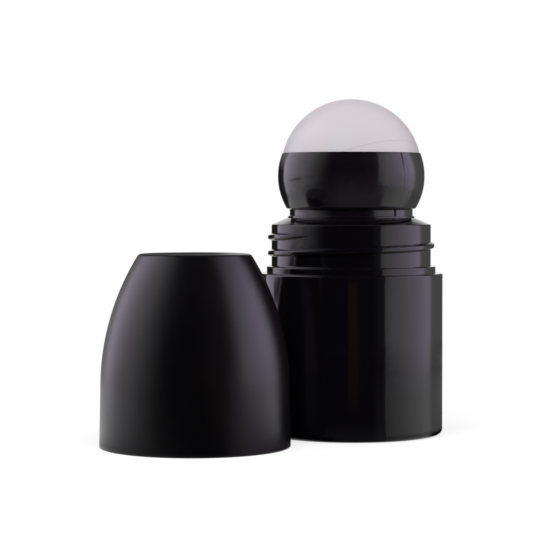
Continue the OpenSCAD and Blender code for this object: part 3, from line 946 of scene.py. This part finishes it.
# %% [markdown]
# The two silks give the upright grey bands on the glossy sides. Each is brightest a little behind the
# object and fades towards the viewer, which is what makes the body look round. They are violet, as the
# photograph's bands are.

# %% Hang the silks
right_round = [(41, 0), (60, 0.3), (77, 0.7), (92, 0.95), (104, 0.95), (111, 0.75), (119, 0)]
right_up = [(-24, 0), (-12, 0.5), (-6, 0.52), (0, 0.7), (8, 1), (50, 1), (65, 0)]
left_round = [(-138, 0), (-131, 1), (-110, 1), (-75, 0.2), (-60, 0)]
left_up = [(-24, 0), (-12, 0.5), (-6, 0.5), (-1, 0.74), (3, 0.9), (6, 1), (40, 1), (60, 0)]
card("right_silk", right_round, right_up, silk_point, glow=2.45, colour="#ecdeff")
card("left_silk", left_round, left_up, silk_point, glow=2.25, colour="#f3eaff")

# %% [markdown]
# The flags keep the middle black, in front beside the camera and overhead. Those behind the object draw the
# dark lines down its edges, and a thin one high on the right dims the silk's upper part. The front flag's
# upright edge is the hard line down the right of the black. It leans, as the line does on the cup.

# %% Hang the flags
FLAG_LEAN = 0.13


def leaning_point(azimuth, elevation):
    """Point of the front flag, whose upright edges lean to the right above the table's level."""
    return flag_point(azimuth + FLAG_LEAN * max(elevation, 0), elevation)


front_round = [(-78, 0), (-46, 0.9), (-36, 1), (8, 1), (14, 0.96), (30, 0.96), (34, 0.92), (40, 0.91)]
front_round += [(42, 0.3), (50, 0.08), (60, 0)]
edge_up = [(-30, 1), (28, 1), (40, 0)]
card("front_flag", front_round, [(-30, 1), (60, 1), (70, 0)], leaning_point)
card("overhead_flag", [(-180, 1), (180, 1)], [(55, 0), (67, 1), (90, 1)], flag_point)
card("back_flag", [(125, 0), (135, 1), (225, 1), (235, 0)], [(20, 0), (32, 1), (61, 1), (62, 0)], flag_point)
card("upper_right_flag", [(40, 0), (46, 1), (118, 1), (132, 0)],
     [(27, 0), (34, 0.12), (38, 0.3), (43, 0.4), (48, 0.5), (68, 0.5)], flag_point)
right_edge = [(111, 0), (121, 0.5), (134, 0.7), (150, 0.85), (162, 0.85), (170, 0)]
left_edge = [(190, 0), (198, 0.7), (219, 0.55), (224, 0.2), (228, 0)]
card("right_edge_flag", right_edge, edge_up, flag_point)
card("left_edge_flag", left_edge, edge_up, flag_point)

# %% [markdown]
# More cards are placed by what the body mirrors in them: a point is given by the azimuth in which the
# mirrored ray leaves the body, and by how far it has gone. The first ones lie on the table, or the foot of
# the glossy body would mirror the pale floor.


# %% Lay the cards on the table
TABLE_CARD_H, FOOT_CARD_H = 0.3, 0.6


def mirrored_point(azimuth, distance_mm, height_mm):
    """Point that the body mirrors to a viewer far in front, at a distance from the body."""
    way = towards(azimuth / 2, 0) * body_r + towards(azimuth, 0) * distance_mm
    return (way.x * MM, way.y * MM, height_mm * MM)


def table_points(height_mm):
    """Function that gives a mirrored point at this height above the table."""
    return lambda azimuth, distance_mm: mirrored_point(azimuth, distance_mm, height_mm)


# The cards that darken the table at the body's foot lie above the others
table_point, foot_point = table_points(TABLE_CARD_H), table_points(FOOT_CARD_H)
card("front_table_flag", [(-78, 0), (-46, 0.9), (-36, 1), (24, 1), (31, 0.95), (41, 0.92), (42, 0)],
     [(-8, 0.91), (8, 0.93), (22, 0.96), (40, 1), (250, 1), (340, 0)], table_point, steps=(2, 90))
side_round = [(42, 0.62), (60, 0.35), (80, 0.1), (90, 0.05), (103, 0.05), (112, 0.2)]
side_round += [(121, 0.6), (134, 0.72), (150, 0.85), (180, 0.85)]
card("side_table_flag", side_round,
     [(-8, 1), (30, 1), (200, 0.9), (300, 0.3), (340, 0)], table_point, steps=(2, 40))
foot_away = [(-8, 1), (2, 1), (12, 0)]
right_foot = [(42, 0.3), (110, 0.4), (125, 0.8), (180, 0.8)]
left_foot = [(-180, 0.6), (-100, 0.6), (-78, 1), (-30, 1), (-20, 0)]
card("right_foot_flag", right_foot, foot_away, foot_point, steps=(2, 10))
card("left_foot_flag", left_foot, foot_away, foot_point, steps=(2, 10))
card("left_table_flag", [(-180, 0.8), (-150, 0.65), (-134, 0.35), (-123, 0.25), (-110, 0)],
     [(-8, 1), (30, 1), (150, 0.4), (320, 0)], table_point, steps=(2, 40))

# %% [markdown]
# The cap stands nearer the viewer and to the left, and the flag on its right stood close by, so the cap
# sees the flag's edge further round than the bottle does. A card close to the cap gives it that edge, and
# for the bottle it hides before the front flag. Two others calm the cap's left and the table that it
# mirrors. A far one dims what the neck mirrors: an upright wall sends each height to its own height far
# off, so a low card there reaches the neck and not the body.


# %% Set the cards that only the cap and the neck see
CAP_FLAG_AWAY, CAP_MIDDLE_H, CAP_TABLE_H = 100, 22, 0.9
WALL_CARD_AWAY = 1200


def cap_flag_point(azimuth, elevation):
    """Point of a card near the cap."""
    return (Vector((cap_x, cap_y, CAP_MIDDLE_H)) + towards(azimuth, elevation) * CAP_FLAG_AWAY) * MM


def wall_point(azimuth, height_mm):
    """Far point that an upright wall of the bottle mirrors to the camera from this height."""
    fall = (camera_mm[2] - height_mm) / -camera_mm[1]
    return mirrored_point(azimuth, WALL_CARD_AWAY, height_mm - fall * WALL_CARD_AWAY)


card("cap_right_flag", [(25, 0), (32, 0.8), (46, 0.9), (50, 0.75), (53, 0.35), (57, 0.08), (62, 0)],
     [(-12, 0), (-9, 0.1), (-4, 0.5), (2, 1), (45, 1), (56, 0.6), (70, 0.2)], cap_flag_point)
card("cap_left_flag", [(-125, 0), (-110, 0.06), (-91, 0.17), (-77, 0.24), (-63, 0.18), (-50, 0.1), (-40, 0)],
     [(-10, 0.7), (-4, 0.8), (3, 1), (9, 1), (14, 0.6), (20, 0.2), (26, 0)], cap_flag_point)
card("over_cap_flag", [(-100, 0), (-90, 0.3), (-75, 0.6), (-63, 0.5), (-48, 0.8), (-40, 0.8), (-30, 0)],
     [(46.8, 0), (47.4, 1), (48, 1), (51.5, 0.7), (54, 0.3), (55, 0)], wall_point, steps=(2, 1))
cap_table_round = [(-100, 0), (-90, 0.08), (-76, 0.28), (-64, 0.42)]
cap_table_round += [(-57, 0.5), (-49, 0.5), (-42, 0.4), (-36, 0)]
card("cap_table_flag", cap_table_round,
     [(-8, 1), (150, 1), (200, 0.5), (240, 0)], table_points(CAP_TABLE_H), steps=(2, 40))

# %% [markdown]
# The lens looks through a gap in the front flag, and the body mirrors it as a faint warm stripe. A dim warm
# glowing card paints that stripe into the body's reflection. Behind the cap a dark card keeps the neck's
# left edge black and takes some light off the cap's top. One more, far off on the left, ends the silk where
# the body's shoulder mirrors it, and leaves the sliver of light beside the cap.


# %% Set the glowing gap card and the cards behind the cap
GAP_NEAR, GAP_LENGTH, GAP_LOW, GAP_RISE = 50, 140, 0.5, 45


def gap_glow_point(azimuth, share):
    """Point of the glowing card for the gap in front, on a slope that rises away from the body."""
    return mirrored_point(azimuth, GAP_NEAR + GAP_LENGTH * share, GAP_LOW + GAP_RISE * share)


# A warm glowing card that only reflections see: a painted stripe of reflected light on the body
card("lens_gap_glow", [(-7.5, 0), (-4.5, 1), (6.5, 1), (9.5, 0)],
     [(0, 0), (0.1, 0.6), (0.5, 1), (0.72, 1), (0.76, 0)], gap_glow_point,
     glow=0.085, colour="#ffdc80", steps=(1, 1))

shoulder_card_low = [(-115, 33), (-100, 31), (-84, 31)]
shoulder_card_high = [(-115, 40), (-109, 40.5), (-103, 43.5), (-98, 47), (-84, 47)]
BEHIND_CAP_Y = 60


def shoulder_point(azimuth, share):
    """Point of the card that the body's left shoulder mirrors."""
    low, high = value_at(shoulder_card_low, azimuth), value_at(shoulder_card_high, azimuth)
    return wall_point(azimuth, low + (high - low) * share)


def behind_cap_point(x_mm, height_mm):
    """Point of the card behind the cap."""
    return (x_mm * MM, BEHIND_CAP_Y * MM, height_mm * MM)


card("shoulder_flag", [(-117, 0), (-113, 0.93), (-92, 0.93), (-84, 0)],
     [(0, 0), (0.2, 1), (0.9, 1), (1, 0)], shoulder_point, steps=(2, 0.2))
card("behind_cap_flag", [(-94, 0), (-82, 0.9), (-36, 0.95), (-28, 0)],
     [(31, 0), (35, 1), (72, 1), (86, 0)], behind_cap_point, steps=(2, 2))

# %% [markdown]
# The table sends some light up to the underside of the cup, which the flags on the table would keep off. A
# dim glowing card that follows the cup half a millimetre away paints that light back in as a reflection.

# %% Put a glowing card under the cup
CUP_GLOW_GAP = 0.5


def cup_glow_point(azimuth, height_mm):
    """Point of the glowing card just outside the underside of the cup."""
    under_waist = ball_h - waist_drop - height_mm
    radius = cup_arc_x + third_side(cup_arc_r, under_waist) + CUP_GLOW_GAP
    side = towards(azimuth, 0) * radius * MM
    return (side.x, side.y, height_mm * MM)


# A glowing card that only reflections see: painted light on the underside of the cup
card("cup_glow_card", [(-30, 0), (-20, 0.5), (-12, 0.9), (10, 1), (22, 1), (26, 0)],
     [(56.9, 1), (59.5, 1), (62.5, 0.5), (66.5, 0)], cup_glow_point,
     glow=0.26, colour="#ece0e8", steps=(2, 1))

# %% [markdown]
# ## Finish
# The picture is shown with the Standard view, so a colour renders about as it is written.

# %% Finish
bpy.context.scene.view_settings.view_transform = "Standard"
